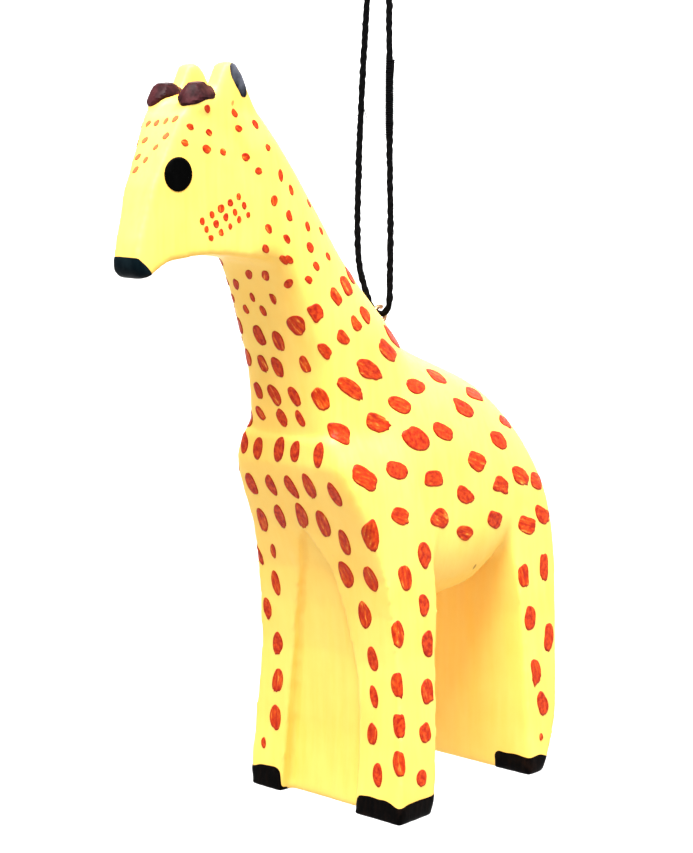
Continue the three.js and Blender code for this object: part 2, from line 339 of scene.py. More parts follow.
def fibre(root, way, length, radius, chance, points, faces, curl=0.5):
    """A loose fibre: a thin tapering hair that wanders as it leaves the cord."""
    centres = [np.array(root, float)]
    way = np.array(way, float) / np.linalg.norm(way)
    steps = 7
    for _ in range(steps):
        way = way + curl * np.array([chance.uniform(-1, 1) for _ in range(3)])
        way /= np.linalg.norm(way)
        centres.append(centres[-1] + way * length / steps)
    radii = [radius * (1 - 0.6 * k / steps) for k in range(steps + 1)]
    tube(metres(centres), [r * MM for r in radii], 5, points, faces)


def make_cord():
    """The twisted cord on its route, its loose fibres and the lap of its ends."""
    chance = random.Random(11)
    route = smooth_path(CORD_ROUTE, CORD_STEP)
    line = np.stack([route[:, 0], np.full(len(route), EYE_Y), route[:, 1]], 1)
    ways = np.gradient(line, axis=0)
    ways /= np.linalg.norm(ways, axis=1)[:, None]
    normal = np.array([0.0, 1.0, 0.0])
    points, faces = [], []
    for ply in range(PLIES):
        centres, radii = [], []
        for step, (centre, way) in enumerate(zip(line, ways)):
            turn = 2 * math.pi * (ply / PLIES + CORD_STEP * step / TWIST_PITCH)
            lump = noise.noise(Vector((0.9 * CORD_STEP * step, 7.0 * ply, 0)))
            out = PLY_OFFSET * (1 + 0.5 * lump)
            side = math.cos(turn) * normal + math.sin(turn) * np.cross(way, normal)
            centres.append(centre + out * side)
            radii.append(PLY_RADIUS * (1 + 0.20 * lump) * MM)
        tube(metres(centres), radii, 8, points, faces)
    cord = mesh_object("cord", points, faces)
    path = metres(line)

    points, faces = [], []
    for _ in range(LOOSE_FIBRES):
        step = chance.randrange(10, len(line) - 10)
        spin = chance.uniform(0, 2 * math.pi)
        side = math.cos(spin) * normal + math.sin(spin) * np.cross(ways[step], normal)
        lean = chance.choice((-1, 1)) * chance.uniform(0.6, 2.2)
        root = line[step] + 0.40 * side
        fibre(root, side + lean * ways[step], chance.uniform(0.5, 1.3), 0.028, chance, points, faces)
    # The long stray one that hangs beside the left strand, and two short ones on its other side.
    fibre((-3.5, EYE_Y, 113.1), (0.40, 0.0, -1), 3.9, 0.085, chance, points, faces, curl=0.05)
    fibre((-3.6, EYE_Y, 126.2), (-1, 0, 0.6), 1.3, 0.090, chance, points, faces, curl=0.3)
    fibre((-4.7, EYE_Y, 111.8), (-1, 0, 0.5), 1.5, 0.060, chance, points, faces, curl=0.2)
    fuzz = mesh_object("cord_fibres", points, faces)

    lap = make_lap(chance)
    material = cotton_cord()
    for piece in (cord, fuzz, lap):
        piece.data.materials.append(material)
        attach(piece, "hanger")
    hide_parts("cord_loop")
    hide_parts("cord_splice")
    tuple(path[0])
    [tuple(p) for p in path]


def lap_radius(height):
    """Radius of the laid ends at a height from the lap's middle: they thin out at both ends."""
    return LAP_CORE * (1 - 0.25 * abs(2 * height / LAP_LENGTH) ** 6)


def by_lap(across, height, back=0.0):
    """A place beside the lap, counted from its middle."""
    return (LAP_X + across, EYE_Y + back, LAP_Z + height)


def make_lap(chance):
    """The lap of the cord's two ends: a thread wound round both, and the frayed ends."""
    points, faces = [], []
    heights = np.linspace(-LAP_LENGTH / 2, LAP_LENGTH / 2, 60)
    core = [by_lap(0.05 * math.sin(1.7 * height), height) for height in heights]
    tube(metres(core), [lap_radius(height) * MM for height in heights], 14, points, faces)

    per_turn = 18
    steps = THREAD_TURNS * per_turn
    wound = []
    for step in range(steps + 1):
        height = (step / steps - 0.5) * (LAP_LENGTH - 2 * THREAD_RADIUS)
        turn = 2 * math.pi * step / per_turn
        wobble = 0.06 * noise.noise(Vector((3 * height, 2.0, 0)))
        out = lap_radius(height) + 0.05 + wobble
        wound.append(by_lap(out * math.cos(turn), height + 0.5 * wobble, out * math.sin(turn)))
    tube(metres(wound), [THREAD_RADIUS * MM] * len(wound), 7, points, faces)

    # One end stands off a little at the top, and one makes a bump low down.
    loose = [by_lap(0.30, 2.8), by_lap(0.62, 4.3), by_lap(0.80, 6.1)]
    tube(metres(loose), [0.30 * MM, 0.28 * MM, 0.20 * MM], 8, points, faces)
    bump = [by_lap(0.35, -3.2), by_lap(0.62, -4.1), by_lap(0.35, -4.9)]
    tube(metres(bump), [0.25 * MM] * len(bump), 8, points, faces)
    for end in (-1, 1):
        for _ in range(LAP_TUFT):
            spin = chance.uniform(0, 2 * math.pi)
            side = np.array((math.cos(spin), math.sin(spin), 0))
            root = by_lap(0.4 * side[0], end * (LAP_LENGTH / 2 - 0.5), 0.4 * side[1])
            way = side + (0, 0, end * chance.uniform(0.6, 2.0))
            fibre(root, way, chance.uniform(0.8, 1.7), 0.05, chance, points, faces, curl=0.3)
    return mesh_object("cord_lap", points, faces)


# ---- the carved body ----
VOXEL = 0.42          # grid of the body's skin
SOFTEN_PASSES = 64
DEEP_HOLLOW = 0.05    # a hollow this deep gets the darkest painted shade


def rise(value, low, high):
    """0 below low, 1 above high, smooth between, for arrays."""
    t = np.clip((value - low) / (high - low), 0, 1)
    return t * t * (3 - 2 * t)


def softness(x, y, z):
    """How far the knife rounded the wood over, from 0 at a crisp edge to 1 on the flanks.
    Each line marks out one part of the figure by where it starts and ends."""
    legs = 0.03 + 0.12 * rise(z, 42, 50) + 0.14 * (1 - rise(z, 0.6, 2.5))
    trunk = rise(z, 34, 44) * rise(y, 3, 12)
    shoulder = rise(z, 63.5, 68) * (1 - rise(z, 96, 108))
    nape = rise(z, 88, 94) * rise(y, -21, -13)
    soft = np.maximum.reduce([legs, 0.95 * trunk, 0.85 * shoulder, nape])
    ledge = rise(z, 56, 59) * (1 - rise(z, 65.5, 68.5)) * (1 - rise(y, -5, 1))
    soft = soft * (1 - ledge) + 0.035 * ledge
    corner = rise(np.abs(x), 8, 12) * rise(z, 38, 48) * (1 - rise(z, 62, 68)) * rise(12 - y, 0, 6)
    soft = np.maximum(soft, 0.85 * corner)
    face = rise(z, 84, 90) * (1 - rise(y, -22, -15))
    soft = soft * (1 - face) + face * (0.16 - 0.10 * (1 - rise(y, -39, -35)))
    cheek = rise(z, 88, 92) * (1 - rise(z, 103, 108)) * rise(y, -24, -18)
    soft = np.maximum(soft, cheek)
    tips = rise(z, 110.5, 112.5) * (1 - rise(y, -20, -17))
    return soft * (1 - tips) + 0.11 * tips


def neighbour_mean(values, edges):
    """For each point, the mean of the values at the points that share an edge with it."""
    count = len(values)
    total = np.bincount(edges[:, 0], values[edges[:, 1]], count)
    total += np.bincount(edges[:, 1], values[edges[:, 0]], count)
    return total / np.bincount(edges.ravel(), minlength=count)


def relaxed(points, edges, strength, passes):
    """Moves every point towards the mean of its neighbours, by its own strength, many times."""
    for _ in range(passes):
        mean = np.stack([neighbour_mean(points[:, axis], edges) for axis in range(3)], 1)
        points = points + (0.5 * strength)[:, None] * (mean - points)
    return points


def shade_in_hollows(points, edges, normals):
    """0 on plain wood, up to 1 in a sharp hollow: how much painted shade the yellow paint gets there."""
    lift = relaxed(points, edges, np.full(len(points), 1.4), 2) - points
    hollow = np.clip((lift * normals).sum(1) / DEEP_HOLLOW, 0, 1)
    for _ in range(2):
        hollow = 0.5 * hollow + 0.5 * neighbour_mean(hollow, edges)
    return hollow.astype(np.float32)


def knife_marks(x, y, z, front):
    """Height of the wood's hand-cut waves: broad facets all over, gouge strokes in the hollows."""
    height = np.empty(len(x))
    in_panel = front * (1 - rise(z, 42, 50)) * (1 - rise(np.abs(x), 6, 8))
    for i in range(len(x)):
        broad = noise.noise(Vector((x[i] / 9, y[i] / 9, z[i] / 13)))
        fine = noise.noise(Vector((x[i] / 3.4 + 20, y[i] / 3.4, z[i] / 4.6)))
        gouge = noise.noise(Vector((x[i] / 1.9, 5.0, z[i] / 21)))
        height[i] = 0.13 * broad + 0.035 * fine + 0.13 * in_panel[i] * gouge
    return height


def rows_of(items, label, width, kind):
    """One row of numbers for each of a mesh's items."""
    flat = np.empty(len(items) * width, kind)
    items.foreach_get(label, flat)
    return flat.reshape(-1, width)


def move_points(mesh, points):
    """Moves a mesh's points to places in figure millimetres."""
    mesh.vertices.foreach_set("co", metres(points).astype(np.float32).ravel())
    mesh.update()


class Skin:
    """The finished body's surface in figure millimetres, for laying paint on."""

    def __init__(self, mesh):
        self.points = rows_of(mesh.vertices, "co", 3, np.float32) / MM + (0, EYE_Y, ORIGIN_Z)
        self.normals = rows_of(mesh.vertex_normals, "vector", 3, np.float32).astype(float)
        mesh.calc_loop_triangles()
        self.triangles = rows_of(mesh.loop_triangles, "vertices", 3, np.int32)
        self.tree = BVHTree.FromPolygons(self.points.tolist(), self.triangles.tolist())

    def hit(self, place, way):
        """Where a line through the place, along the way, meets the surface from outside."""
        way = Vector(way).normalized()
        return self.tree.ray_cast(Vector(place) - way * 80, way)[0]

    def nearest(self, place):
        found, normal, _, _ = self.tree.find_nearest(place)
        return found, normal


def make_body():
    """The carved figure: the frame's solid with its edges rounded over and its knife marks."""
    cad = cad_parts["carved_body"]
    rough = linked("rough_figure", cad.data.copy())
    remesh = rough.modifiers.new("skin", "REMESH")
    remesh.mode = "VOXEL"
    remesh.voxel_size = VOXEL * MM
    evaluated = rough.evaluated_get(bpy.context.evaluated_depsgraph_get())
    mesh = bpy.data.meshes.new_from_object(evaluated)
    bpy.data.objects.remove(rough)

    points = rows_of(mesh.vertices, "co", 3, np.float32).astype(float) / MM + (0, EYE_Y, ORIGIN_Z)
    edges = rows_of(mesh.edges, "vertices", 2, np.int32)
    points = relaxed(points, edges, softness(*points.T), SOFTEN_PASSES)
    move_points(mesh, points)
    normals = rows_of(mesh.vertex_normals, "vector", 3, np.float32).astype(float)
    front = np.clip(-normals[:, 1], 0, 1)
    # The marks are fainter by the sawn undersides, and the whole skin lies a hair inside.
    marks = knife_marks(*points.T, front) * (0.35 + 0.65 * rise(points[:, 2], 1.5, 4)) - 0.03
    points = points + normals * marks[:, None]
    mesh.polygons.foreach_set("use_smooth", [True] * len(mesh.polygons))
    move_points(mesh, points)
    # The painted shade for the hollows, kept on the skin for the yellow paint.
    hollow_shade = mesh.attributes.new("crease_shade", "FLOAT", "POINT")
    hollow_shade.data.foreach_set("value", shade_in_hollows(points, edges, normals))
    mesh.materials.clear()
    mesh.materials.append(yellow_paint())
    body = linked("carved_figure", mesh)
    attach(body, "figure")
    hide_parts("carved_body")
    return Skin(mesh)


# ---- coats of paint with an outline ----
COAT_ROOT = 0.08      # a coat's underside lies this far inside the wood


def clipped(skin, here, edge):
    """The part of the skin where here holds and edge is below zero, cut along edge's zero line.
    Returns its points, normals, depth inside the line, and polygons."""
    chosen = here(*skin.points.T)
    depth = np.ones(len(skin.points))
    depth[chosen] = edge(*skin.points[chosen].T)
    keep = (depth < 0)[skin.triangles].any(axis=1)
    index, points, normals, depths, polygons = {}, [], [], [], []

    def corner(key, place, normal, inside):
        if key not in index:
            index[key] = len(points)
            points.append(place)
            normals.append(normal)
            depths.append(inside)
        return index[key]

    for triangle in skin.triangles[keep].tolist():
        polygon = []
        for a, b in zip(triangle, triangle[1:] + triangle[:1]):
            if depth[a] < 0:
                polygon.append(corner((a, a), skin.points[a], skin.normals[a], -depth[a]))
            if (depth[a] < 0) != (depth[b] < 0):
                low, high = min(a, b), max(a, b)
                t = depth[low] / (depth[low] - depth[high])
                place = skin.points[low] * (1 - t) + skin.points[high] * t
                normal = skin.normals[low] * (1 - t) + skin.normals[high] * t
                polygon.append(corner((low, high), place, normal, 0.0))
        if len(set(polygon)) > 2:
            polygons.append(polygon)
    return np.array(points), np.array(normals), np.array(depths), polygons


def thickened(name, points, normals, tops, polygons, below):
    """A closed coat: the raised top, an underside just inside the wood, and a wall round it."""
    count = len(points)
    top = points + normals * tops[:, None]
    under = points - normals * below
    used = {}
    for polygon in polygons:
        for a, b in zip(polygon, polygon[1:] + polygon[:1]):
            used[(a, b)] = used.get((a, b), 0) + 1
    faces = [tuple(p) for p in polygons] + [tuple(count + i for i in reversed(p)) for p in polygons]
    faces += [(b, a, count + a, count + b) for a, b in used if (b, a) not in used]
    return mesh_object(name, metres(np.concatenate([top, under])), faces)


def coat(skin, name, here, edge, material, thickness=0.10, shape=None, crisp=None):
    """Paints the body with a raised coat, where here holds and edge is below zero."""
    points, normals, depths, polygons = clipped(skin, here, edge)
    ripple = np.array([noise.noise(Vector(p * 0.9)) for p in points])
    tops = thickness * (0.55 + 0.45 * rise(depths, 0, 0.35)) * (1 + 0.35 * ripple)
    if shape is not None:
        tops = tops + shape(points, normals) * rise(depths, 0, 0.6)
    piece = thickened(name, points, normals, tops, polygons, COAT_ROOT)
    if crisp is not None:
        piece.data.set_sharp_from_angle(angle=math.radians(crisp))
    piece.data.materials.append(material)
    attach(piece, "figure")


def waver(x, y, z, size, seed):
    """A hand-painted edge's wandering, for arrays of places."""
    return np.array([noise.noise(Vector((a / size + seed, b / size, c / size))) for a, b, c in zip(x, y, z)])


def meeting(first, second, radius):
    """Below zero where both edges are, with the corner where they meet rounded off."""
    rounded = np.hypot(np.maximum(first + radius, 0), np.maximum(second + radius, 0)) - radius
    return np.where(np.minimum(first, second) > -radius, rounded, np.maximum(first, second))


HOOF_MIDDLE_Y = 21      # between the front legs and the hind legs


def paint_hooves(skin):
    black = coat_paint("hoof_black", (0.001, 0.0008, 0.0008), (0.013, 0.006, 0.004), 0.38,
                       worn=0.12, gloss=0.03)
    hooves = (
        # name, side, is it in front, height, distance of the inner edge from the middle plane
        ("hoof_front_left", 1, True, 3.5, 6.9),
        ("hoof_front_right", -1, True, 4.0, 9.7),
        ("hoof_hind_left", 1, False, 3.3, 9.0),
        ("hoof_hind_right", -1, False, 3.4, 9.4),
    )
    for seed, (name, side, is_front, height, inner) in enumerate(hooves):
        def edge(x, y, z):
            outer_y = 0 if is_front else 40
            corner_dip = 0.75 * np.exp(-((np.abs(x) - 16.2) ** 2 + (y - outer_y) ** 2) / 2.2)
            top = z - height + corner_dip - 0.35 * waver(x, y, z, 3.1, seed)
            across = inner - side * x - 0.35 * waver(x, y, z, 2.3, seed + 9) + 0.10 * z
            return meeting(top, across, 1.0)

        def here(x, y, z):
            return (z < 6) & (side * x > 0) & ((y < HOOF_MIDDLE_Y) == is_front)

        coat(skin, name, here, edge, black)


def paint_nose(skin):
    black = coat_paint("nose_black", (0.001, 0.004, 0.006), (0.004, 0.010, 0.013), 0.34,
                       worn=0.3, gloss=0.03)

    def edge(x, y, z):
        top = z - 91.35 - 0.22 * waver(x, y, z, 1.9, 4)
        back = 0.72 * (y + 38.3) + 0.69 * (z - 88.2) - 0.1 * waver(x, y, z, 1.5, 5)
        return meeting(top, back, 0.6)

    def here(x, y, z):
        return (z < 94) & (z > 85) & (y < -35)

    coat(skin, "nose_cap", here, edge, black, thickness=0.13)


HORN_X, HORN_Y, HORN_Z = 3.2, -30, 112.8
HORN_SIZE = (2.35, 3.1, 3.2)   # half of a horn's width, depth and height
HORN_CUTS = 7                  # flat knife cuts round a horn, besides the one on top


def paint_horns(skin):
    maroon = coat_paint("horn_maroon", (0.018, 0.004, 0.005), (0.090, 0.022, 0.026), 0.36, worn=0.55)
    chance = random.Random(5)
    for side, name in ((1, "horn_cap_left"), (-1, "horn_cap_right")):
        middle = np.array((side * HORN_X, HORN_Y, HORN_Z))
        cuts = []
        for turn in range(HORN_CUTS):
            spin = math.radians(turn * 360 / HORN_CUTS + chance.uniform(-14, 14))
            tilt = math.radians(chance.uniform(18, 42))
            level = math.cos(tilt)
            cuts.append((math.cos(spin) * level, math.sin(spin) * level, math.sin(tilt)))
        cuts.append((0.1, -0.1, 0.99))
        cuts = np.array(cuts)
        cuts /= np.linalg.norm(cuts, axis=1)[:, None]
        reach = 1.0 / np.sqrt(((cuts / HORN_SIZE) ** 2).sum(1))

        def edge(x, y, z):
            line = 112.5 + 0.24 * (y + 33) + 0.9 * rise(-side * x, -3.2, -1.2) + 0.7 * rise(y, -28.8, -27.2)
            away = zip((side * x - HORN_X, y - HORN_Y, z - HORN_Z), HORN_SIZE)
            off_horn = 2.5 * (np.sqrt(sum((distance / size) ** 2 for distance, size in away)) - 1.09)
            return np.maximum(line - z - 0.25 * waver(x, y, z, 1.6, 2 + side), off_horn)

        def here(x, y, z):
            between = (side * x > 0.2) & (side * x < 6.5) & (y < -26) & (y > -35)
            return between & (z > 110.8) & (z < 117.5)

        def faceted(points, normals):
            """How far a flat knife cut lies from the round horn, outward."""
            away = points - middle
            size = np.linalg.norm(away, axis=1)
            along = (away / size[:, None]) @ cuts.T
            flat = np.where(along > 0.15, 0.965 * reach / np.maximum(along, 0.15), 99).min(1)
            return np.clip(flat - size, -0.6, 0.35)

        coat(skin, name, here, edge, maroon, shape=faceted, crisp=13)


STROKE_TOP, STROKE_FOOT = 118.0, 114.6  # the brush stroke down the outside of each ear


def paint_ears(skin):
    slate = coat_paint("ear_slate", (0.006, 0.007, 0.011), (0.105, 0.110, 0.135), 0.36, worn=0.8)
    for side, name in ((1, "ear_stroke_left"), (-1, "ear_stroke_right")):
        def edge(x, y, z):
            share = np.clip((STROKE_TOP - z) / (STROKE_TOP - STROKE_FOOT), 0, 1)
            past = np.maximum(z - STROKE_TOP, 0) + np.maximum(STROKE_FOOT - z, 0)
            away = np.hypot(y - (-24.5 + 1.9 * share), past)
            return away - 0.78 - 0.45 * np.sin(math.pi * share) - 0.12 * waver(x, y, z, 1.1, 7)

        def here(x, y, z):
            return (side * x > 4.3) & (y > -28) & (y < -19) & (z > 112) & (z < 119.5)

        coat(skin, name, here, edge, slate, thickness=0.09)


# ---- dabs ----
class Dabs:
    """Many dabs of paint gathered in one mesh, each a closed raised drop on the skin."""
    RINGS, SPOKES = 6, 30
    FILM, RIDGE, LIP = 0.95, 1.18, 0.62  # height inside, where paint piles up, and at the rim
    AROUND = 6.28                        # about a full turn

    def __init__(self, skin, seed):
        self.skin = skin
        self.chance = random.Random(seed)
        self.points, self.faces, self.uvs, self.tones, self.rims = [], [], [], [], []

    def frame_at(self, place):
        """The surface point, its normal evened out over the dab, and the way down."""
        centre, normal = self.skin.nearest(place)
        total = Vector(normal)
        for dx, dy, dz in ((1, 0, 0), (-1, 0, 0), (0, 1, 0), (0, -1, 0), (0, 0, 1), (0, 0, -1)):
            total += self.skin.nearest(centre + 0.9 * Vector((dx, dy, dz)))[1]
        normal = total.normalized()
        down = Vector((0, 0, -1)) - normal * -normal.z
        if down.length < 0.2:
            down = Vector((0, 1, 0)) - normal * normal.y
        return centre, normal, down.normalized()

    def add(self, place, length, width, tilt=0, leaf=0.2, rough=0.09, thickness=0.10, blunt=0.07):
        """One dab. tilt turns its long axis from straight down towards the tail, leaf points its
        ends, blunt squares it, and rough is how far its outline strays."""
        chance = self.chance
        centre, normal, down = self.frame_at(place)
        tail = normal.cross(down)
        if tail.y + 0.3 * tail.x < 0:
            tail = -tail
        turn = math.radians(tilt)
        along = math.cos(turn) * down + math.sin(turn) * tail
        across = normal.cross(along)
        waves = [(k, chance.uniform(-1, 1) * rough * size, chance.uniform(0, self.AROUND))
                 for k, size in ((2, 0.75), (3, 0.6), (4, 0.4), (5, 0.22), (9, 0.12))]
        skew = chance.uniform(-0.22, 0.22)
        phase_of_streaks = chance.uniform(0, self.AROUND)
        ragged = chance.choice((0, 0, 0.12, 0.22)) if rough > 0.03 else 0
        drift = (chance.uniform(0, 400), chance.uniform(0, 400))
        tone = chance.uniform(0, 1)
        first = len(self.points)
        self.place_point(centre, normal, thickness * 0.9, drift, (0, 0), tone, 0)
        for ring in range(1, self.RINGS + 1):
            share = (ring / self.RINGS) ** 0.8
            for spoke in range(self.SPOKES):
                angle = 2 * math.pi * spoke / self.SPOKES
                out = 1 + sum(size * math.cos(k * angle + phase) for k, size, phase in waves)
                ripple = noise.noise(Vector((9 * angle, phase_of_streaks, 0)))
                out += ragged * max(0, math.cos(angle)) * ripple
                u = share * out * math.cos(angle) * length / 2
                v = share * out * math.sin(angle) * (1 - leaf * math.cos(angle) ** 2) * width / 2
                square = 1 + blunt * math.sin(2 * angle) ** 2
                u, v = u * square, v * square
                v += skew * width * (2 * u / length) ** 2 * 0.5
                spot, face = self.skin.nearest(centre + along * u + across * v)
                height = self.FILM
                if ring == self.RINGS - 1:
                    height = self.RIDGE
                if ring == self.RINGS:
                    height = self.LIP
                else:
                    streak = 0.16 * math.sin(7.5 * v + 1.1 * u + phase_of_streaks)
                    streak += 0.30 * noise.noise(Vector((u * 0.8, v * 2.4, phase_of_streaks)))
                    height += streak
                self.place_point(spot, face, thickness * height, drift, (u, v), tone, share)
        under = len(self.points)
        rim = first + 1 + (self.RINGS - 1) * self.SPOKES
        for spoke in range(self.SPOKES):
            spot = Vector(self.points[rim + spoke])
            inside, face = self.skin.nearest(spot)
            self.place_point(inside, face, -0.10, drift, (0, 0), tone, 1)
        inside, face = self.skin.nearest(centre)
        self.place_point(inside, face, -0.25, drift, (0, 0), tone, 1)
        self.close(first, rim, under)

    def place_point(self, spot, normal, height, drift, uv, tone, rim):
        self.points.append(tuple(spot + normal * height))
        self.uvs.append((drift[0] + uv[0], drift[1] + uv[1]))
        self.tones.append(tone)
        self.rims.append(rim)

    def close(self, first, rim, under):
        spokes = self.SPOKES
        for spoke in range(spokes):
            after = (spoke + 1) % spokes
            self.faces.append((first, first + 1 + spoke, first + 1 + after))
            for ring in range(self.RINGS - 1):
                a = first + 1 + ring * spokes
                self.faces.append((a + spoke, a + spokes + spoke, a + spokes + after, a + after))
            self.faces.append((rim + spoke, under + spoke, under + after, rim + after))
            self.faces.append((under + spoke, under + spokes, under + after))

    def finish(self, name, material):
        piece = mesh_object(name, metres(self.points), self.faces)
        mesh = piece.data
        for label, values in (("tone", self.tones), ("rim", self.rims)):
            layer = mesh.attributes.new(label, "FLOAT", "POINT")
            layer.data.foreach_set("value", values)
        corners = rows_of(mesh.loops, "vertex_index", 1, np.int32)[:, 0]
        uv = mesh.uv_layers.new(name="dab")
        uv.data.foreach_set("uv", np.array(self.uvs, np.float32)[corners].ravel())
        mesh.materials.append(material)
        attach(piece, "figure")


SIDE, FRONT, BACK, TOP = (-1, 0, 0), (0, 1, 0), (0, -1, 0), (0, 0, -1)

# The painter's rows on the left flank and neck, from the front back: [y, z] of each dab,
# then the dabs' length, width and tilt.
FLANK_ROWS = (
    (((-10.4, 81.9), (-6.3, 84.1), (-3.4, 85.6), (-1, 87)), 3.3, 2.2, 34),
    (((-8.6, 75.9), (-5.2, 77.7), (-2.1, 79.5), (0.8, 81)), 3.2, 2.1, 46),
    (((-3.9, 69.9), (0.8, 72.4), (6.1, 74.9), (9.3, 76.6)), 5.7, 2.5, 58),
    (((-6.4, 63.2), (1.9, 63.8), (7.2, 66.2), (12.4, 68.7), (20.3, 69.5)), 5.2, 2.9, 72),
    (((-3.9, 56), (4, 56.3), (9.4, 60.6), (16.4, 61.1), (23.8, 64), (29.6, 65.7)), 5.5, 3.0, 68),
    (((12.5, 54.2), (24, 55.3), (31.4, 58), (35.9, 60.5)), 4.5, 2.9, 74),
    (((3.6, 49.2), (13.8, 47.5), (20.3, 50.4), (29.9, 50.9), (35.9, 51.5), (41.2, 50.1)), 4.7, 3.0, 66),
    (((20.5, 44.1), (28.3, 45.2), (37.1, 42.9), (41.8, 44.1)), 4.5, 2.8, 66),
)
# On the legs' sides the dabs stand nearly upright.
LEG_SIDE_ROWS = (
    (((8.6, 42.2), (7.9, 34.3), (8.6, 27.8), (7.9, 20.2), (6.9, 13.9)), 3.9, 2.8, 12),
    (((41.1, 35.2), (41.3, 22.8)), 4.3, 2.4, 0),
    (((35.2, 34.5), (36.5, 27), (37.1, 17.8), (38.5, 11.9)), 3.9, 2.9, 12),
    (((5.3, 6.8),), 2.8, 2.4, 10),
    (((37.6, 6.3),), 1.4, 1.1, 10),
)
# Small dabs on the side of the head and down the neck.
HEAD_ROWS = (
    (((-29.9, 112.0), (-24.6, 111.5), (-20.6, 110)), 1.5, 1.0, 45),
    (((-32.5, 109.6), (-29.5, 108.8), (-23.9, 109.3), (-18.6, 106.6)), 1.3, 0.95, 60),
    (((-33.4, 107.3), (-29.9, 106.4), (-27.1, 106), (-22.8, 105.2), (-20.7, 103.2)), 1.3, 1.0, 70),
    (((-16.4, 102.6), (-14.3, 100.4)), 1.6, 1.0, 8),
    (((-17.9, 98.8), (-15.3, 96.6)), 1.6, 1.1, 6),
    (((-9.7, 98.3), (-11.3, 94.9), (-7.8, 94.1)), 1.5, 1.0, 20),
    (((-18.9, 94.7), (-15.8, 93.1), (-11.1, 91.7), (-7.1, 90.2)), 1.6, 1.1, 40),
    (((-19.4, 91.7), (-15.3, 90.1), (-10.1, 88.9), (-11.9, 87)), 1.6, 1.1, 50),
)
# Rows across the throat, the neck and the chest, from the figure's right to its left: [x, z].
THROAT_ROWS = (
    (((-6.2, 89.3), (0.8, 89.7), (7, 90.1)), 1.7, 1.1, 40),
    (((-7.2, 86.1), (-4.5, 85.9), (-0.9, 87.6), (2.8, 87.5), (6.4, 86.4)), 1.9, 1.3, -30),
    (((-6.9, 83.5), (-4.1, 81.9), (-1.9, 83.9), (-0.3, 81.9), (2.6, 83.8)), 1.7, 1.2, 15),
)
NECK_ROWS = (
    (((-7.1, 79.1), (-2.8, 77.7), (1.2, 77.2)), 3.1, 2.2, 15),
    (((5.7, 79.9),), 3.6, 3.2, 30),
    (((-6.9, 73.9), (-3.5, 73.3), (-0.3, 73), (5.4, 73.7)), 3.1, 2.0, 24),
    (((-5.4, 68.7), (-1.7, 68.3), (2.4, 68.5)), 3.3, 1.8, 26),
    (((7.4, 68.4),), 3.9, 3.0, 30),
    (((-5.6, 65), (-0.7, 64.7), (3.2, 65.1)), 3.0, 1.7, 34),
)
CHEST_ROWS = (
    (((-9.1, 60), (-6, 59.5), (-1.4, 59.8), (2, 59.8), (7.1, 59.8)), 3.9, 2.0, -14),
    (((-9.5, 53.1), (-4.9, 53.5), (-0.4, 53.7), (3.7, 54.3), (8.8, 53.4)), 4.3, 2.2, 6),
    (((-10.1, 46.8), (-5.6, 47.9), (-0.4, 48.7), (3.8, 47.9), (7.2, 45.1)), 4.8, 2.3, -9),
    (((12.9, 47),), 5.4, 3.6, -14),
    (((-9.7, 41.2),), 2.6, 1.1, -10),
    (((-13.6, 40.1), (-10.6, 35.6), (-13, 30.9)), 4.2, 1.9, 0),
    (((-11.1, 25.1), (-11.1, 18.7), (-11.6, 12.4)), 4.0, 2.1, -4),
    (((-14, 7.5),), 2.0, 1.0, 10),
    (((5.8, 39.4), (10.8, 39.5), (8.6, 33.2)), 4.5, 2.6, 8),
    (((9.9, 26.1), (10.3, 20), (10, 13.8), (11.3, 7.3)), 4.1, 2.1, 4),
)
# Down the left corner of the front leg: [x, y, z] on the corner itself.
CORNER_DABS = (
    ((13.6, 3.8, 39.4), (14.2, 1.5, 30.8), (14.9, 1.2, 22.6), (15.5, 1, 16.1), (15.8, 0.7, 10.1)),
    4.1, 3.0, 14,
)
# The back's ridge from above, [x, y], and the rump from behind, [x, z].
BACK_ROWS = (
    (((-3.4, 20), (-4.6, 27), (-3.6, 34.5)), 4.4, 2.6, 20),
)
RUMP_ROWS = (
    (((-7, 58), (0.4, 59.5), (6.8, 57.5)), 4.4, 2.6, 8),
    (((-8.0, 51.0), (-3.0, 51.8), (2.8, 51.4), (7.8, 50.6)), 4.4, 2.6, -6),
    (((-11, 42.5), (-5, 44), (4.6, 44), (10.8, 42)), 4.4, 2.4, 4),
    (((-12.2, 34), (-7.6, 36), (7.8, 35.6), (12.4, 34.2)), 4.2, 2.3, 0),
    (((-12.6, 26.4), (12.4, 26), (-12.4, 18.6), (12.8, 18.4)), 4.0, 2.2, 3),
    (((-13, 11), (12.6, 10.8)), 3.8, 2.1, 5),
)
# The nape, from behind: [x, z].
NAPE_ROWS = (
    (((-2.6, 84.5), (-4.6, 88.6), (-0.6, 89.4), (-3.2, 93)), 2.6, 1.7, 0),
    (((-5.2, 96.4), (-1.6, 97.8), (-4.2, 101), (-0.9, 102.6), (-4.8, 105.4), (-1.9, 107)), 1.5, 1.1, 0),
)
# The patch of flecks on each cheek: [y, z] of the first, and the way to the next and to the
# next row.
CHEEK_FIRST, CHEEK_STEP, CHEEK_ROW = (-30.9, 96.2), (1.62, 0.82), (0.78, -1.28)
CHEEK_ROWS, CHEEK_COLUMNS = 3, 5
# Flecks on the forehead, lightened as painted highlight: x and z of a row's first, how many, and the steps
# to the next.
FOREHEAD_ROWS = (
    (-4.0, 109.7, 5, 1.75, 0.22), (-3.6, 107.2, 2, 1.8, 0.4), (0.9, 106.7, 2, 1.3, 1.6),
    (-2.2, 105.2, 2, 1.9, -0.3), (-1.7, 103.4, 1, 0, 0),
)
START_ABOVE = 90  # dabs on the back are dropped from this height


